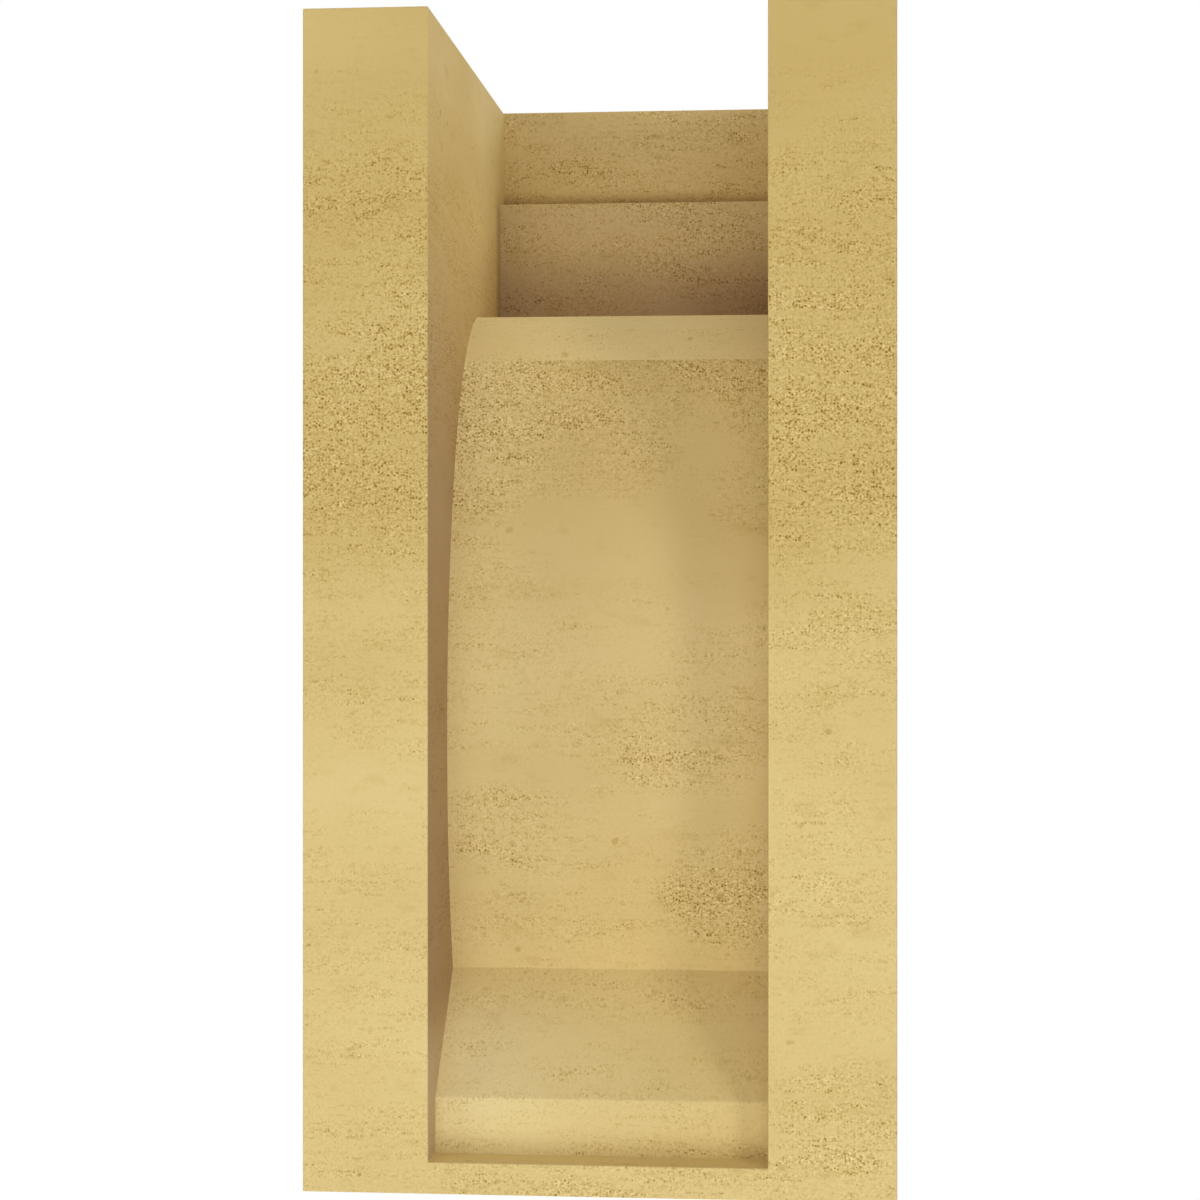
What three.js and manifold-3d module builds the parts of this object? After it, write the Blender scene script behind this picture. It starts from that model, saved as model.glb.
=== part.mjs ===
// A moulded architectural corbel: a hollow one-piece bracket that is fixed flat against a wall and carries a beam
// or a shelf on its top rim. Two thick cheeks are joined by a thin front shell with two stepped bands, a level
// soffit, an elliptical cove, a sloped chamfer and a small foot. The recess behind the shell is open at the wall
// and at the top, and a thin bar closes it below.
//
// Millimetres, +Z up. The wall is the plane Y = 0 and the corbel projects towards -Y, with X across its width.
// The origin is on the wall face, on the centreline, halfway up the bar that closes the recess below.
//
// Side profiles are drawn with reach, the distance out from the wall, and level, the height above the underside.
import * as THREE from "three";
import { mergeVertices } from "three/addons/utils/BufferGeometryUtils.js";
import Module from "manifold-3d";

const wasm = await Module();
wasm.setup();

// Overall size
const width = 177.8;
const depth = 177.8;
const height = 355.6;

// Walls
const cheekWall = 38.1;
const shellWall = 9.525;

// Bands at the top of the front, the lower one set back from the upper one
const topBandHeight = 44.45;
const secondBandHeight = 46.5;
const bandStep = 9.525;

// Level part of the soffit, from the lower band's face back to the cove
const soffitLength = 58.9;

// Foot, and the chamfer that slopes out above it
const footDepth = 22.5;
const footHeight = 22.5;
const chamferRise = 35.8;
const chamferAngle = THREE.MathUtils.degToRad(45);

// How far the chamfer's top corner stands out beyond the cove's waist
const coveLip = 12.8;

// Straight pieces in a quarter of the cove's ellipse
const coveSegments = 32;

// How far the recess is cut past the wall face and past the top, which it leaves open
const cutOverrun = 10;

const tanFinish = new THREE.MeshStandardMaterial({
  name: "mottled tan finish",
  color: new THREE.Color().setRGB(0.84, 0.74, 0.5, THREE.SRGBColorSpace),
  roughness: 0.75,
  metalness: 0,
});

// The outside's cove: an ellipse that is level where it leaves the soffit, upright at its waist, and passes
// through the chamfer's top corner.
function coveEllipse() {
  const soffit = height - topBandHeight - secondBandHeight;
  const corner = {
    reach: footDepth + chamferRise * Math.tan(chamferAngle),
    level: footHeight + chamferRise,
  };
  const reach = depth - bandStep - soffitLength;
  const reachRadius = reach - (corner.reach - coveLip);
  const cornerDrop = Math.sqrt(1 - ((reach - corner.reach) / reachRadius) ** 2);
  const level = (corner.level + cornerDrop * soffit) / (1 + cornerDrop);
  return { reach, level, reachRadius, levelRadius: soffit - level };
}

// Where the chamfer's line, which starts at the top of the foot's front, first meets the cove's ellipse.
function chamferTop(footTop, ellipse) {
  const slope = { reach: Math.sin(chamferAngle), level: Math.cos(chamferAngle) };
  const startReach = (footTop.reach - ellipse.reach) / ellipse.reachRadius;
  const startLevel = (footTop.level - ellipse.level) / ellipse.levelRadius;
  const slopeReach = slope.reach / ellipse.reachRadius;
  const slopeLevel = slope.level / ellipse.levelRadius;
  const a = slopeReach ** 2 + slopeLevel ** 2;
  const b = 2 * (startReach * slopeReach + startLevel * slopeLevel);
  const c = startReach ** 2 + startLevel ** 2 - 1;
  const along = (-b - Math.sqrt(b ** 2 - 4 * a * c)) / (2 * a);
  return {
    reach: footTop.reach + along * slope.reach,
    level: footTop.level + along * slope.level,
  };
}

// The side profile with its underside and front set in by inset: none for the outside of the corbel, and the
// shell's wall for the recess. It is closed at wallSide, a reach, and at top, a level.
function sideProfile(inset, wallSide, top) {
  const topBandFace = depth - inset;
  const topBandUnderside = height - topBandHeight + inset;
  const secondBandFace = depth - bandStep - inset;
  const outside = coveEllipse();
  const cove = {
    reach: outside.reach,
    level: outside.level,
    reachRadius: outside.reachRadius + inset,
    levelRadius: outside.levelRadius + inset,
  };
  const soffit = cove.level + cove.levelRadius;
  const footTop = {
    reach: footDepth - inset,
    level: footHeight + inset * Math.tan(chamferAngle / 2),
  };
  const chamferCorner = chamferTop(footTop, cove);
  const coveStart = Math.atan2(
    (chamferCorner.level - cove.level) / cove.levelRadius,
    (chamferCorner.reach - cove.reach) / cove.reachRadius,
  );
  const shape = new THREE.Shape();
  shape.moveTo(wallSide, inset);
  shape.lineTo(footTop.reach, inset);
  shape.lineTo(footTop.reach, footTop.level);
  shape.lineTo(chamferCorner.reach, chamferCorner.level);
  shape.absellipse(
    cove.reach,
    cove.level,
    cove.reachRadius,
    cove.levelRadius,
    coveStart,
    Math.PI / 2,
    true,
  );
  shape.lineTo(secondBandFace, soffit);
  shape.lineTo(secondBandFace, topBandUnderside);
  shape.lineTo(topBandFace, topBandUnderside);
  shape.lineTo(topBandFace, top);
  shape.lineTo(wallSide, top);
  shape.closePath();
  return shape;
}

// A side profile extruded across X, centred on the corbel's middle, with its reach laid along -Y.
function acrossWidth(shape, extent) {
  const geometry = new THREE.ExtrudeGeometry(shape, {
    depth: extent,
    bevelEnabled: false,
    curveSegments: coveSegments,
  });
  geometry.translate(0, 0, -extent / 2);
  geometry.applyMatrix4(
    new THREE.Matrix4().makeBasis(
      new THREE.Vector3(0, -1, 0),
      new THREE.Vector3(0, 0, 1),
      new THREE.Vector3(-1, 0, 0),
    ),
  );
  return geometry;
}

function solidOf(geometry) {
  geometry.deleteAttribute("normal");
  geometry.deleteAttribute("uv");
  const merged = mergeVertices(geometry);
  return new wasm.Manifold(
    new wasm.Mesh({
      numProp: 3,
      vertProperties: merged.attributes.position.array,
      triVerts: merged.index.array,
    }),
  );
}

function geometryOf(solid) {
  const mesh = solid.getMesh();
  const geometry = new THREE.BufferGeometry();
  geometry.setAttribute("position", new THREE.BufferAttribute(mesh.vertProperties, 3));
  geometry.setIndex(new THREE.BufferAttribute(mesh.triVerts, 1));
  geometry.computeVertexNormals();
  return geometry;
}

// The one moulding: the solid bracket less the recess between its cheeks.
function corbelBody() {
  const bracket = solidOf(acrossWidth(sideProfile(0, 0, height), width));
  const recessProfile = sideProfile(shellWall, -cutOverrun, height + cutOverrun);
  const recess = solidOf(acrossWidth(recessProfile, width - 2 * cheekWall));
  const body = new THREE.Mesh(geometryOf(bracket.subtract(recess)), tanFinish);
  body.name = "corbel_body";
  body.position.set(0, 0, -shellWall / 2);
  return body;
}

const corbel = new THREE.Group();
corbel.name = "corbel";
corbel.add(corbelBody());

export default corbel;
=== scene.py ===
# A hollow moulded corbel, seen from behind: two thick cheeks and the thin front shell between them.
import math
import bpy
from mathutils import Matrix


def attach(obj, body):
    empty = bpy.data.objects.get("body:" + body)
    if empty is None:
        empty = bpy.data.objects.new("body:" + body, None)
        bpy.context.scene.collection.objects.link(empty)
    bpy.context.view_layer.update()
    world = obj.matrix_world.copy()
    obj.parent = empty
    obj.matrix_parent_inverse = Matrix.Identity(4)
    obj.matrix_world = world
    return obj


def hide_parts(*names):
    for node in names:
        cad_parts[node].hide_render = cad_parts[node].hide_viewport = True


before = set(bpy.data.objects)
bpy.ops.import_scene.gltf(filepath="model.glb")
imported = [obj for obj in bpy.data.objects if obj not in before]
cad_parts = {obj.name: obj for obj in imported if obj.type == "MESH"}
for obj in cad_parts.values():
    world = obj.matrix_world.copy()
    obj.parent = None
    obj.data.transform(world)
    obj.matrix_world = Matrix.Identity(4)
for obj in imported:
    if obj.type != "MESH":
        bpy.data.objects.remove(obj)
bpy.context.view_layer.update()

from types import SimpleNamespace

import bmesh
import bpy
from mathutils import Vector

MM = 0.001

# The moulding's sizes, in millimetres, as in the frame
WIDTH = 177.8
DEPTH = 177.8
HEIGHT = 355.6
CHEEK_WALL = 38.1
SHELL_WALL = 9.525
TOP_BAND_HEIGHT = 44.45
SECOND_BAND_HEIGHT = 46.5
BAND_STEP = 9.525
SOFFIT_LENGTH = 58.9
FOOT_DEPTH = 22.5
FOOT_HEIGHT = 22.5
CHAMFER_RISE = 35.8
CHAMFER_ANGLE = math.radians(45)
COVE_LIP = 12.8

# Smooth cove and eased arrises
COVE_SEGMENTS = 96
ARRIS_EASING = 0.4
ARRIS_SEGMENTS = 3
ARRIS_ANGLE = math.radians(15)
FLAT_FACE_WEIGHT = 100


def cove_ellipse():
    """The outside's cove: level at the soffit, upright at its waist, through the chamfer's top corner."""
    soffit = HEIGHT - TOP_BAND_HEIGHT - SECOND_BAND_HEIGHT
    corner_reach = FOOT_DEPTH + CHAMFER_RISE * math.tan(CHAMFER_ANGLE)
    corner_level = FOOT_HEIGHT + CHAMFER_RISE
    reach = DEPTH - BAND_STEP - SOFFIT_LENGTH
    reach_radius = reach - (corner_reach - COVE_LIP)
    drop = math.sqrt(1 - ((reach - corner_reach) / reach_radius) ** 2)
    level = (corner_level + drop * soffit) / (1 + drop)
    return reach, level, reach_radius, soffit - level


def chamfer_top(foot_top, ellipse):
    """Where the chamfer's line, from the top of the foot, first meets the cove."""
    reach, level, reach_radius, level_radius = ellipse
    start = ((foot_top[0] - reach) / reach_radius, (foot_top[1] - level) / level_radius)
    slope = (math.sin(CHAMFER_ANGLE), math.cos(CHAMFER_ANGLE))
    run = (slope[0] / reach_radius, slope[1] / level_radius)
    a = run[0] ** 2 + run[1] ** 2
    b = 2 * (start[0] * run[0] + start[1] * run[1])
    c = start[0] ** 2 + start[1] ** 2 - 1
    along = (-b - math.sqrt(b * b - 4 * a * c)) / (2 * a)
    return foot_top[0] + along * slope[0], foot_top[1] + along * slope[1]


def side_profile(inset):
    """The front's reach and its height above the underside, from the foot to the top of the upper band."""
    reach, level, reach_radius, level_radius = cove_ellipse()
    cove = (reach, level, reach_radius + inset, level_radius + inset)
    foot_top = (FOOT_DEPTH - inset, FOOT_HEIGHT + inset * math.tan(CHAMFER_ANGLE / 2))
    corner = chamfer_top(foot_top, cove)
    start = math.atan2((corner[1] - cove[1]) / cove[3], (corner[0] - cove[0]) / cove[2])
    end = math.pi / 2
    sweep = (end - start) % (2 * math.pi) - 2 * math.pi
    points = [(0, inset), (foot_top[0], inset), foot_top]
    for i in range(COVE_SEGMENTS + 1):
        t = start + sweep * i / COVE_SEGMENTS
        points.append((cove[0] + cove[2] * math.cos(t), cove[1] + cove[3] * math.sin(t)))
    soffit = cove[1] + cove[3]
    step = HEIGHT - TOP_BAND_HEIGHT + inset
    points.append((DEPTH - BAND_STEP - inset, soffit))
    points.append((DEPTH - BAND_STEP - inset, step))
    points.append((DEPTH - inset, step))
    points.append((DEPTH - inset, HEIGHT))
    return points


def moulding_mesh():
    """The corbel as one closed skin: outer profile, recess profile, and the rims at the wall and the top."""
    bm = bmesh.new()
    half = WIDTH / 2
    inner_half = half - CHEEK_WALL

    def corner(x, reach, level):
        return bm.verts.new((x * MM, -reach * MM, (level - SHELL_WALL / 2) * MM))

    def skin(inset, reach_x):
        points = side_profile(inset) + [(0, HEIGHT)]
        left = [corner(-reach_x, *p) for p in points]
        right = [corner(reach_x, *p) for p in points]
        bm.faces.new(left)
        bm.faces.new(right)
        for i in range(len(points) - 2):
            bm.faces.new((left[i], left[i + 1], right[i + 1], right[i]))
        return left, right

    left, right = skin(0, half)
    inner_left, inner_right = skin(SHELL_WALL, inner_half)
    bm.faces.new((left[0], right[0], right[-1], inner_right[-1], inner_right[0],
                  inner_left[0], inner_left[-1], left[-1]))
    bm.faces.new((left[-1], inner_left[-1], inner_left[-2], inner_right[-2], inner_right[-1],
                  right[-1], right[-2], left[-2]))
    bmesh.ops.recalc_face_normals(bm, faces=bm.faces)
    mesh = bpy.data.meshes.new("corbel_moulding")
    bm.to_mesh(mesh)
    bm.free()
    mesh.shade_smooth()
    return mesh


def moulding():
    """The corbel with its arrises eased and its flat faces shaded flat."""
    obj = bpy.data.objects.new("corbel_moulding", moulding_mesh())
    bpy.context.scene.collection.objects.link(obj)
    easing = obj.modifiers.new("eased arrises", "BEVEL")
    easing.width = ARRIS_EASING * MM
    easing.segments = ARRIS_SEGMENTS
    easing.limit_method = "ANGLE"
    easing.angle_limit = ARRIS_ANGLE
    easing.use_clamp_overlap = False
    flats = obj.modifiers.new("flat faces", "WEIGHTED_NORMAL")
    flats.keep_sharp = False
    flats.weight = FLAT_FACE_WEIGHT
    return obj


class Graph:
    """Shorthand for building a node tree."""

    def __init__(self, tree):
        self.tree = tree

    def feed(self, socket, value):
        if isinstance(value, bpy.types.NodeSocket):
            self.tree.links.new(value, socket)
        else:
            socket.default_value = value

    def add(self, kind, inputs, **settings):
        node = self.tree.nodes.new("ShaderNode" + kind)
        for name, value in settings.items():
            setattr(node, name, value)
        for name, value in inputs.items():
            self.feed(node.inputs[name], value)
        return node

    def math(self, operation, *values):
        node = self.add("Math", {}, operation=operation)
        for socket, value in zip(node.inputs, values):
            self.feed(socket, value)
        return node.outputs[0]

    def total(self, *values):
        result = values[0]
        for value in values[1:]:
            result = self.math("ADD", result, value)
        return result

    def product(self, *values):
        result = values[0]
        for value in values[1:]:
            result = self.math("MULTIPLY", result, value)
        return result

    def vector(self, x, y, z):
        return self.add("CombineXYZ", {"X": x, "Y": y, "Z": z}).outputs[0]

    def scaled(self, vector, x, y, z):
        return self.add("VectorMath", {0: vector, 1: (x, y, z)}, operation="MULTIPLY").outputs[0]

    def smooth(self, value, low, high, start=0.0, end=1.0):
        """Start at low and before it, end at high and past it, and an eased change in between."""
        limits = {"From Min": low, "From Max": high, "To Min": start, "To Max": end}
        return self.add("MapRange", {"Value": value, **limits}, interpolation_type="SMOOTHSTEP").outputs[0]

    def lobe(self, way, toward, spread):
        """One in the direction toward, falling off smoothly to nothing at a right angle to it."""
        node = self.add("VectorMath", {0: way, 1: Vector(toward).normalized()}, operation="DOT_PRODUCT")
        return self.math("POWER", self.math("MAXIMUM", node.outputs["Value"], 0.0), spread)

    def noise(self, flat, width, height, layer_step, detail, roughness=0.5):
        """Smooth noise about zero, in cells of width by height."""
        place = self.scaled(flat, 1 / width, 1 / height, layer_step)
        settings = {"Scale": 1.0, "Detail": detail, "Roughness": roughness}
        return self.math("SUBTRACT", self.add("TexNoise", {"Vector": place, **settings}).outputs[0], 0.5)

    def oval(self, across, up, middle, level, half_width, half_height):
        """One in the middle of a soft oval, falling off to nothing at its edge."""
        sideways = self.product(self.math("SUBTRACT", across, middle), 1 / half_width)
        upwards = self.product(self.math("SUBTRACT", up, level), 1 / half_height)
        away = self.total(self.product(sideways, sideways), self.product(upwards, upwards))
        return self.smooth(away, 1.0, 0.0)

    def by_level(self, value, low, high, stops):
        """A smooth curve through pairs of level and amount."""
        share = self.add("MapRange", {"Value": value, "From Min": low, "From Max": high}).outputs[0]
        node = self.add("ValToRGB", {"Fac": share})
        ramp = node.color_ramp
        ramp.interpolation = "EASE"
        while len(ramp.elements) < len(stops):
            ramp.elements.new(0.5)
        for element, (level, amount) in zip(ramp.elements, stops):
            element.position = (level - low) / (high - low)
            element.color = (amount, amount, amount, 1)
        return node.outputs[0]


# The finish's levels are millimetres above the origin, which lies halfway up the bar below the recess
LEVELS = (-10, 350)

# A face counts as level where its normal leans up or down by more than this share of its lean sideways: from
# level, to level, and the share at each. The chamfer, at 45 degrees, is upright, and the cove's top is level
COUNTS_AS_LEVEL = (100, 200, 1.02, 0.93)

# Which slice of the noises the side faces, the faces to the front or the wall, and the level faces show
NOISE_SLICES = (17.3, 29.1, 43.7)

# Where the wall side's parts begin and end: in from the wall face, from the cove to the bands, and across
WALL_EDGES = (-4, -1)
PAST_WALL_FACE = (-2, -8)
COVE_END = -90
BANDS_START = -130
BETWEEN_CHEEKS = (56, 46)
INNER_WALLS = (60, 54)


def face_layout(g):
    """Where a point is, in millimetres, on which kind of face, and its flat coordinates on that face."""
    place = g.add("TexCoord", {}).outputs
    x, y, z = g.add("SeparateXYZ", {"Vector": g.scaled(place["Object"], 1 / MM, 1 / MM, 1 / MM)}).outputs
    facing = g.add("SeparateXYZ", {"Vector": place["Normal"]}).outputs
    lean = [g.math("ABSOLUTE", part) for part in facing]

    on_side = g.math("GREATER_THAN", lean[0], g.math("MAXIMUM", lean[1], lean[2]))
    sideways = g.product(g.math("MAXIMUM", lean[0], lean[1]), g.smooth(z, *COUNTS_AS_LEVEL))
    on_level = g.math("GREATER_THAN", lean[2], sideways)
    on_front = g.math("SUBTRACT", g.math("SUBTRACT", 1.0, on_level), on_side)
    across = g.total(x, g.product(on_side, g.math("SUBTRACT", y, x)))
    up = g.total(z, g.product(on_level, g.math("SUBTRACT", y, z)))
    kinds = zip((on_side, on_front, on_level), facing, NOISE_SLICES)
    layer = g.total(*(g.product(kind, g.math("SIGN", part), slice_at) for kind, part, slice_at in kinds))

    inside = g.product(g.math("GREATER_THAN", facing[1], 0.0), on_front, g.smooth(y, *PAST_WALL_FACE))
    faces = {
        "bands": g.product(g.smooth(y, COVE_END, BANDS_START), inside),
        "cove": g.product(g.smooth(y, BANDS_START, COVE_END), inside),
        "inner_wall": g.product(g.smooth(g.math("ABSOLUTE", x), *INNER_WALLS), on_side),
        "facing_up": g.product(g.math("GREATER_THAN", facing[2], 0.0), on_level),
    }
    return SimpleNamespace(
        axes={"x": x, "y": y, "z": z}, facing=facing, lean=lean, across=across, up=up, layer=layer,
        flat=g.vector(across, up, layer), on_side=on_side, on_front=on_front, on_level=on_level, faces=faces,
    )


# How much mottling each level carries, from none at 0 to all over at 1, and the least there is anywhere
MOTTLING_BY_LEVEL = (
    (-5, 0.40),
    (15, 0.14),
    (45, 0.13),
    (75, 0.17),
    (115, 0.06),
    (150, 0.19),
    (185, 0.24),
    (203, 0.80),
    (240, 0.90),
    (262, 0.66),
    (290, 0.42),
    (318, 0.12),
    (345, 0.01),
)
LEAST_MOTTLING = 0.02

# Places that carry more or less of it than their level: across, up, half width, half height, how much more
PLACES_BETWEEN_CHEEKS = (
    (-42, 82, 34, 22, 0.62),
    (-22, 128, 38, 17, 0.34),
    (34, 104, 26, 16, 0.38),
    (0, 215, 50, 44, -0.42),
    (-34, 200, 34, 40, -0.40),
    (-38, 228, 30, 18, -0.30),
    (22, 199, 60, 12, -0.45),
    (8, 165, 40, 26, -0.12),
)
PLACES_ON_CHEEKS = (
    (-72, 20, 22, 24, 0.36),
    (-70, 160, 22, 22, 0.20),
    (-70, 100, 22, 40, 0.12),
    (0, 233, 400, 8, 0.30),
    (82, 262, 20, 24, -0.40),
    (82, 290, 18, 16, 0.10),
)

# How much of it there is on the shell's inner face behind the bands
BEHIND_BANDS = 0.36

# How much of it the level faces and the upright side faces carry
LEVEL_FACES_SHARE = 0.10
SIDE_FACES_SHARE = 0.75

# How much of it the front loses where it turns under, and between which leans of its normal
LOST_UNDER = 0.9
TURNED_UNDER = (0.2, 0.68)


def mottling_amount(g, at):
    """How much mottling a place carries, by its level, the places listed and the kind of face."""
    amount = g.by_level(at.up, *LEVELS, MOTTLING_BY_LEVEL)
    between_cheeks = g.smooth(g.math("ABSOLUTE", at.across), *BETWEEN_CHEEKS)
    on_cheeks = g.math("SUBTRACT", 1.0, between_cheeks)
    for mask, places in ((between_cheeks, PLACES_BETWEEN_CHEEKS), (on_cheeks, PLACES_ON_CHEEKS)):
        for *place, more in places:
            amount = g.total(amount, g.product(g.oval(at.across, at.up, *place), mask, more))
    amount = g.math("MAXIMUM", amount, LEAST_MOTTLING)
    amount = g.total(amount, g.product(at.faces["bands"], g.math("SUBTRACT", BEHIND_BANDS, amount)))
    turned_under = g.product(g.math("LESS_THAN", at.facing[1], 0.0), g.smooth(at.lean[2], *TURNED_UNDER))
    lost = g.product(turned_under, at.on_front, -LOST_UNDER)
    share = g.total(at.on_front, lost, g.product(at.on_side, SIDE_FACES_SHARE))
    return g.total(g.product(amount, share), g.product(at.on_level, LEVEL_FACES_SHARE))


# The noises of the finish: cell width and height, step from layer to layer, detail, and roughness if not 0.5
PATCHES = (42, 11, 1.0, 4.0, 0.6)
CLUMPS = (9, 2.6, 2.6, 2.0, 0.6)
ROWS = (16, 1.1, 2.0, 1.0)
GRAIN = (0.66, 0.62, 7.0, 1.0)
SPOTS = (1.7, 1.2, 5.0, 1.0)
WANDER = (2.2, 2.2, 3.0, 1.0)
SMUDGES = (10, 6, 3.0, 2.0)
CLOUDS = (80, 45, 1.0, 2.0)
SURFACE = (0.7, 0.7, 3.0, 1.0)

# How many doublings of the mottling each noise swings over, and the most it reaches, with the easing into it
DOUBLINGS = ((PATCHES, 7.5), (CLUMPS, 4.5), (ROWS, 5.0))
MOST_COVER = (1.25, 0.5)


def mottling_cover(g, at):
    """Patches of mottling, wider than high, broken up into clumps and rows."""
    swing = g.total(*(g.product(g.noise(at.flat, *cells), share) for cells, share in DOUBLINGS))
    cover = g.product(mottling_amount(g, at), g.math("POWER", 2.0, swing))
    return g.math("SMOOTH_MIN", cover, *MOST_COVER)


# The mottling's dots: how strongly the grain and the spots are drawn, and how dark each kind is
DOT_GAIN = 10.0
GRAIN_DEPTH = 0.075
DARK_GRAIN_DEPTH = 0.06
SPOT_DEPTH = 0.14
SPOT_COVER = (0.3, 0.2)

# Pits: how close they lie, how far each layer shifts them, their edge, how dark they are, how dark the
# lightest is, and how rare the darkest are
PITS_PER_MM = 1.05
PIT_SHIFT = (5.3, 3.1)
PIT_EDGE = (0.52, 0.12)
PIT_DEPTH = 0.85
LIGHTEST_PIT = 0.04
PIT_RARITY = 4.0


def dark_dots(g, at, cover):
    """Fine dark grain and pits all through the patches, and softer spots where they thin out."""
    grain = g.product(g.noise(at.flat, *GRAIN), DOT_GAIN)
    dark = g.math("MAXIMUM", grain, 0.0)
    dots = g.total(g.product(grain, GRAIN_DEPTH), g.product(dark, dark, DARK_GRAIN_DEPTH))
    sown = [g.total(part, g.product(at.layer, shift)) for part, shift in zip((at.across, at.up), PIT_SHIFT)]
    sown = g.scaled(g.vector(*sown, 0.0), PITS_PER_MM, PITS_PER_MM, 0)
    pits = g.add("TexVoronoi", {"Vector": sown, "Scale": 1.0}, voronoi_dimensions="2D").outputs
    chance = g.add("SeparateColor", {"Color": pits["Color"]}).outputs[0]
    weight = g.total(LIGHTEST_PIT, g.math("POWER", chance, PIT_RARITY))
    dots = g.total(dots, g.product(g.smooth(pits["Distance"], *PIT_EDGE), weight, PIT_DEPTH))
    spots = g.math("MAXIMUM", g.product(g.noise(at.flat, *SPOTS), DOT_GAIN), 0.0)
    spots = g.product(spots, g.math("SMOOTH_MIN", cover, *SPOT_COVER), SPOT_DEPTH)
    return g.total(g.product(dots, cover), spots)


# Blotches: their cells, how far the wander bends them, smallest size and spread, edge, how rare and how dark
BLOTCH_CELLS = (1 / 11, 1 / 9, 5.0)
BLOTCH_BEND = (2.5, -1.8)
BLOTCH_SIZES = (0.05, 0.11)
BLOTCH_EDGE = (1.0, 0.4)
BLOTCH_RARITY = (0.4, 0.85)
BLOTCH_DEPTH = 0.22


def blotches(g, at):
    """A few soft blotches with uneven edges."""
    wander = g.noise(at.flat, *WANDER)
    bent = [g.total(part, g.product(wander, bend)) for part, bend in zip((at.across, at.up), BLOTCH_BEND)]
    place = g.scaled(g.vector(*bent, at.layer), *BLOTCH_CELLS)
    cells = g.add("TexVoronoi", {"Vector": place, "Scale": 1.0}).outputs
    chance = g.add("SeparateColor", {"Color": cells["Color"]}).outputs
    size = g.total(BLOTCH_SIZES[0], g.product(chance[0], BLOTCH_SIZES[1]))
    blotch = g.smooth(g.math("DIVIDE", cells["Distance"], size), *BLOTCH_EDGE)
    return g.product(blotch, g.smooth(chance[1], *BLOTCH_RARITY), BLOTCH_DEPTH)


# Ovals on the wall side: painted shade in the corner behind the bands, and painted shade over the middle of
# the cove
PAINTED_SHADE_CORNER = ("oval", -56, 278, 52, 34)
PAINTED_SHADE_COVE = ("oval", -8, 165, 46, 110)

# The lower of the two bands, and its lower part
LOWER_BAND = ("z", 318, 314)
LOW_ON_BAND = ("z", 304, 276)

# Painted light and painted shade, layer by layer: on which faces, how much painted light, how much painted
# shade, and where. It fades along an axis, from where to where, with its share at each if not 0 and 1, or
# towards an oval's edge
PAINTED_LIGHT_AND_SHADE = (
    # Behind the bands: painted light and shade all over, a painted shade line at the upper one's foot, and
    # more of both on the lower one low down, darkest in its corner
    ("bands", 0.1, 0.22, ()),
    ("bands", 0.0, 0.65, (("z", 321.5, 316.3), ("y", -160, -165))),
    ("bands", 0.6, 0.25, (LOWER_BAND,)),
    ("bands", 1.2, 0.85, (LOWER_BAND, LOW_ON_BAND)),
    ("bands", -1.1, 0.0, (LOWER_BAND, LOW_ON_BAND, PAINTED_SHADE_CORNER)),
    ("bands", 0.0, 0.2, (LOWER_BAND, PAINTED_SHADE_CORNER)),
    # The cove is paler to one side with a painted sheen, darker in its middle with painted shade, and paler
    # near the foot with painted light
    ("cove", 1.0, 0.0, (("x", 5, 50), ("z", 190, 235, 0.3, 0.8))),
    ("cove", 1.0, 0.0, (("z", 60, 30), ("x", -40, 50, 0.15, 0.7))),
    ("cove", 0.0, 0.16, (PAINTED_SHADE_COVE,)),
    # The cheeks' inner faces are paler with painted light far in, lower down and near the foot
    ("inner_wall", 1.0, 0.0, (("y", -60, -130), ("z", 260, 300, 0.2, 0.6))),
    ("inner_wall", 0.3, 0.0, (("z", 310, 190),)),
    ("inner_wall", 0.9, 0.0, (("z", 55, 32),)),
    # They are darker with painted shade lower down, beside the lower band, and in a painted shade line
    # beside the step between the bands
    ("inner_wall", 0.0, 1.0, (("z", 310, 190), ("z", 55, 32, 1.0, 0.6))),
    ("inner_wall", 0.0, 0.2, (("z", 130, 80),)),
    ("inner_wall", 0.0, 0.8, (("z", 322, 310), ("y", -144, -157))),
    ("inner_wall", 0.0, 0.25, (("z", 305, 270), ("y", -60, -120))),
    # What faces up is paler with painted light from above, the lip over the cove most of all
    ("facing_up", 1.0, 0.0, (("z", 5, 12, 0.1, 0.8),)),
    ("facing_up", 0.9, 0.0, (("z", 300, 290), ("y", -78, -104))),
)


def paint_light_and_shade(g, at):
    """How much painted light and how much painted shade lie on what faces up and on the faces of the recess.
    """
    painted_light = []
    painted_shade = []
    for faces, painted_lift, painted_darkening, fades in PAINTED_LIGHT_AND_SHADE:
        layer = at.faces[faces]
        for along, *extent in fades:
            if along == "oval":
                fade = g.oval(at.axes["x"], at.axes["z"], *extent)
            else:
                fade = g.smooth(at.axes[along], *extent)
            layer = g.product(layer, fade)
        if painted_lift:
            painted_light.append(g.product(layer, painted_lift))
        if painted_darkening:
            painted_shade.append(g.product(layer, painted_darkening))
    return g.total(*painted_light), g.total(*painted_shade)


# Smudges and slow changes of tone
SMUDGE_EDGE = (0.08, 0.30)
SMUDGE_DEPTH = 0.07
CLOUD_DEPTH = 0.22

# How much darker the upper part of the wall edges is, all over
DARKER_TOWARDS_TOP = (
    (0, 0.0),
    (110, 0.0),
    (165, 0.07),
    (215, 0.14),
    (345, 0.14),
)

BASE_COLOUR = (0.78, 0.60, 0.258)
# How fast red, green and blue darken as the mottling thickens
DARKENING = (0.97, 1.27, 2.14)
# How much painted light lifts each of them, and how fast painted shade darkens them
PAINTED_LIGHT_LIFT = (0.15, 0.23, 0.44)
PAINTED_SHADE_DARKENING = (0.42, 0.52, 0.36)

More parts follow.
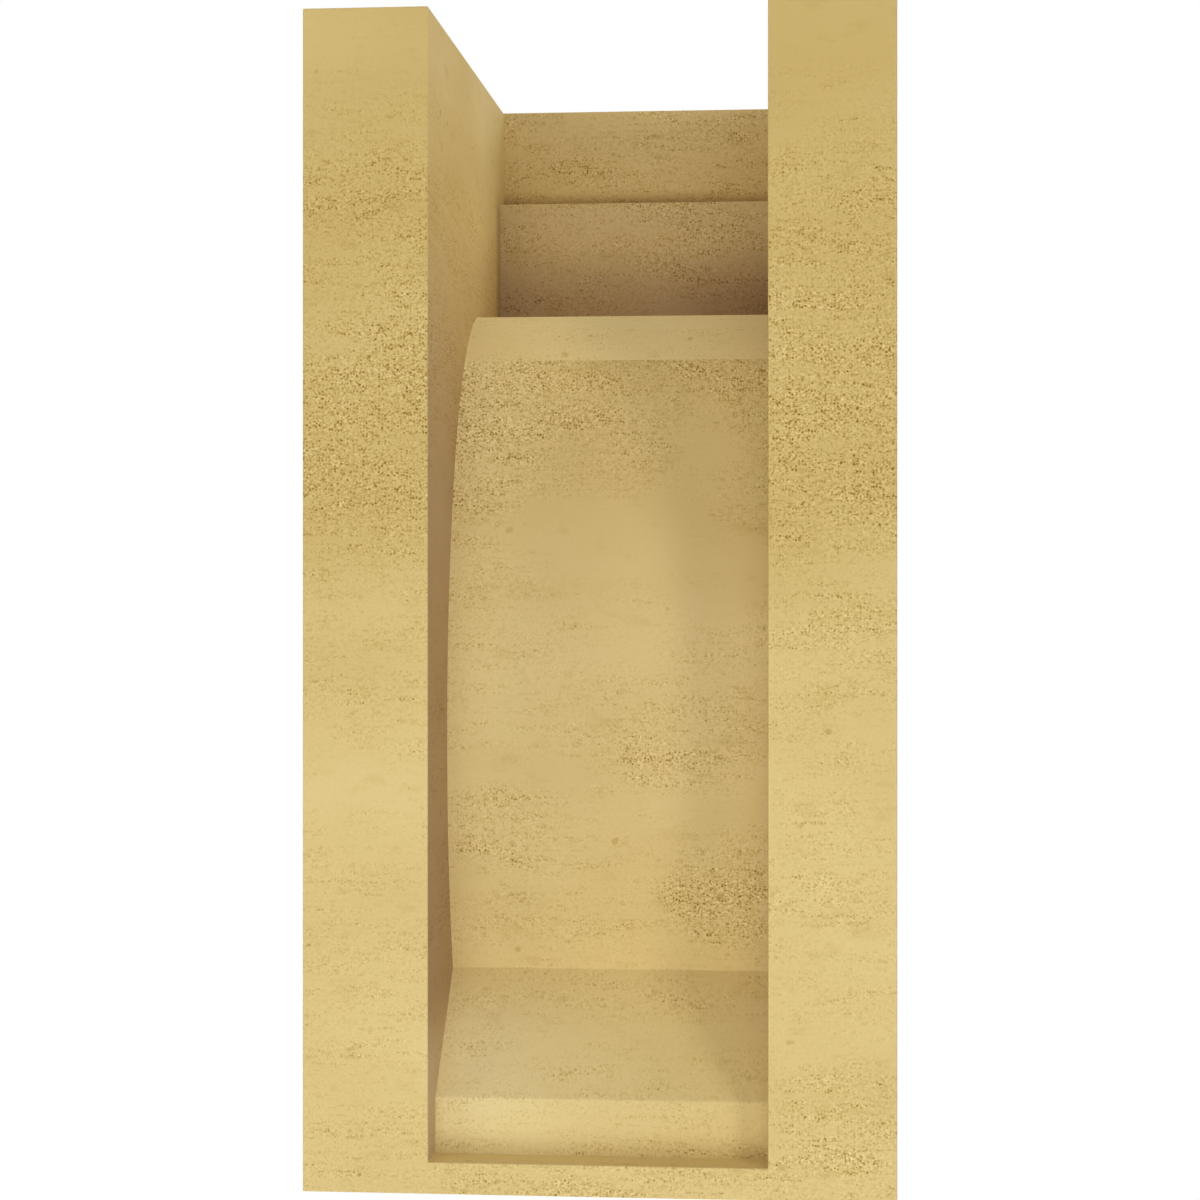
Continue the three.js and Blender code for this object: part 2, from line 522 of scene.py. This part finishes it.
# The surface's sheen and roughness, what the mottling and the clouds add to it, and its fine unevenness
SPECULAR = 0.06
ROUGHNESS = 0.75
ROUGHER_MOTTLING = 0.08
ROUGHER_CLOUDS = 0.3
BUMP_STRENGTH = 0.25
BUMP_HEIGHT = 0.008


def mottled_tan():
    """The one finish: pale tan, darkened by mottling and by painted shade, and lifted by painted light."""
    mat = bpy.data.materials.new("mottled_tan_finish")
    mat.use_nodes = True
    g = Graph(mat.node_tree)
    at = face_layout(g)

    cover = mottling_cover(g, at)
    smudges = g.product(g.smooth(g.noise(at.flat, *SMUDGES), *SMUDGE_EDGE), SMUDGE_DEPTH)
    on_edges = g.smooth(at.axes["y"], *WALL_EDGES)
    # The wall edges get darker towards the top
    top_darkening = g.product(g.by_level(at.up, *LEVELS, DARKER_TOWARDS_TOP), at.on_front, on_edges)
    clouds = g.product(g.noise(at.flat, *CLOUDS), CLOUD_DEPTH)
    depth = g.total(dark_dots(g, at, cover), blotches(g, at), smudges, top_darkening, clouds)
    # Painted light lifts the colour and painted shade darkens it, in the recess and on what faces up
    painted_light, painted_shade = paint_light_and_shade(g, at)
    tint = []
    for base, darkening, lift, shade_rate in zip(BASE_COLOUR, DARKENING, PAINTED_LIGHT_LIFT, PAINTED_SHADE_DARKENING):
        mottled = g.math("EXPONENT", g.product(depth, -darkening))
        painted_lift = g.total(1.0, g.product(painted_light, lift))
        painted_darkening = g.math("EXPONENT", g.product(painted_shade, -shade_rate))
        tint.append(g.product(mottled, base, painted_lift, painted_darkening))
    colour = g.add("CombineColor", dict(zip(("Red", "Green", "Blue"), tint)))
    rough = g.total(ROUGHNESS, g.product(cover, ROUGHER_MOTTLING), g.product(clouds, ROUGHER_CLOUDS))
    uneven = {"Height": g.noise(at.flat, *SURFACE), "Strength": BUMP_STRENGTH, "Distance": BUMP_HEIGHT * MM}

    shader = mat.node_tree.nodes["Principled BSDF"].inputs
    g.feed(shader["Base Color"], colour.outputs[0])
    g.feed(shader["Roughness"], rough)
    g.feed(shader["Normal"], g.add("Bump", uneven).outputs[0])
    shader["Specular IOR Level"].default_value = SPECULAR
    return mat


# The photograph's camera, found from the corbel's straight edges: behind it, level, a little to one side
CAMERA_PLACE = (-0.07363, 0.74752, 0.17388)
CAMERA_YAW = math.radians(4.921)
SENSOR_WIDTH = 36.0
FOCAL_LENGTH = 75.729
CAMERA_SHIFT = (-28 / 1200, -2.85 / 1200)


def camera():
    data = bpy.data.cameras.new("camera")
    data.sensor_width = SENSOR_WIDTH
    data.lens = FOCAL_LENGTH
    data.shift_x, data.shift_y = CAMERA_SHIFT
    cam = bpy.data.objects.new("camera", data)
    bpy.context.scene.collection.objects.link(cam)
    cam.location = CAMERA_PLACE
    forward = Vector((math.sin(CAMERA_YAW), -math.cos(CAMERA_YAW), 0))
    cam.rotation_mode = "QUATERNION"
    cam.rotation_quaternion = forward.to_track_quat("-Z", "Y")
    bpy.context.scene.camera = cam


# The soft lights: azimuth, elevation, distance, size, power. Azimuth 0 is straight out from the corbel's
# back, positive towards -X
LIGHTS = {
    "low_light": (0, -21, 1.4, 0.9, 6.0),
    "left_light": (-48, 0, 1.4, 0.9, 3.6),
    "right_light": (38, 8, 1.4, 0.35, 3.5),
    "high_light": (0, 70, 1.4, 0.9, 2.8),
    "front_light": (-148, 30, 1.6, 0.7, 7.0),
    "side_light": (-112, 8, 1.5, 0.9, 2.6),
}
LIGHTS_FACE = Vector((0, -0.05, 0.173))


def soft_light(name, azimuth, elevation, distance, size, power):
    """A round light that faces the corbel."""
    data = bpy.data.lights.new(name, "AREA")
    data.shape = "DISK"
    data.size = size
    data.energy = power
    light = bpy.data.objects.new(name, data)
    bpy.context.scene.collection.objects.link(light)
    turn = math.radians(azimuth)
    rise = math.radians(elevation)
    out = Vector((-math.sin(turn) * math.cos(rise), math.cos(turn) * math.cos(rise), math.sin(rise)))
    light.location = LIGHTS_FACE + out * distance
    light.rotation_mode = "QUATERNION"
    light.rotation_quaternion = (-out).to_track_quat("-Z", "Y")


# The plain pale floor, in metres, well below the corbel
FLOOR_RADIUS = 4.0
FLOOR_SEGMENTS = 96
FLOOR_LEVEL = -1.0
FLOOR_COLOUR = (0.93, 0.93, 0.93, 1)
FLOOR_ROUGHNESS = 0.9


def pale_floor():
    bm = bmesh.new()
    bmesh.ops.create_circle(bm, cap_ends=True, segments=FLOOR_SEGMENTS, radius=FLOOR_RADIUS)
    mesh = bpy.data.meshes.new("floor")
    bm.to_mesh(mesh)
    bm.free()
    floor = bpy.data.objects.new("floor", mesh)
    bpy.context.scene.collection.objects.link(floor)
    floor.location.z = FLOOR_LEVEL
    mat = bpy.data.materials.new("pale_floor")
    mat.use_nodes = True
    shader = mat.node_tree.nodes["Principled BSDF"]
    shader.inputs["Base Color"].default_value = FLOOR_COLOUR
    shader.inputs["Roughness"].default_value = FLOOR_ROUGHNESS
    mesh.materials.append(mat)


# The white surround's light: all round, and in broad glows, each with its centre, how tight and how strong
SURROUND = 0.23
SOFT_GLOWS = (
    ((0, -1, 0), 2, 0.60),
    ((-0.55, -0.55, 0.63), 6, 1.25),
)
WHITE = (1, 1, 1, 1)


def white_surround():
    """It lights the corbel softly, and is seen as plain white."""
    world = bpy.data.worlds.new("white_surround")
    bpy.context.scene.world = world
    world.use_nodes = True
    g = Graph(world.node_tree)
    way = g.add("TexCoord", {}).outputs["Generated"]
    glows = [g.product(g.lobe(way, toward, spread), strength) for toward, spread, strength in SOFT_GLOWS]
    surround = g.total(SURROUND, *glows)
    lit = g.add("Background", {"Color": WHITE, "Strength": surround}).outputs[0]
    white = g.add("Background", {"Color": WHITE, "Strength": 1.0}).outputs[0]
    seen = g.add("LightPath", {}).outputs["Is Camera Ray"]
    mixed = g.add("MixShader", {0: seen, 1: lit, 2: white}).outputs[0]
    g.feed(world.node_tree.nodes["World Output"].inputs["Surface"], mixed)


corbel = moulding()
corbel.data.materials.append(mottled_tan())
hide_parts("corbel_body")
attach(corbel, "root")

camera()
pale_floor()
white_surround()
for name, settings in LIGHTS.items():
    soft_light(name, *settings)
bpy.context.scene.view_settings.view_transform = "Standard"
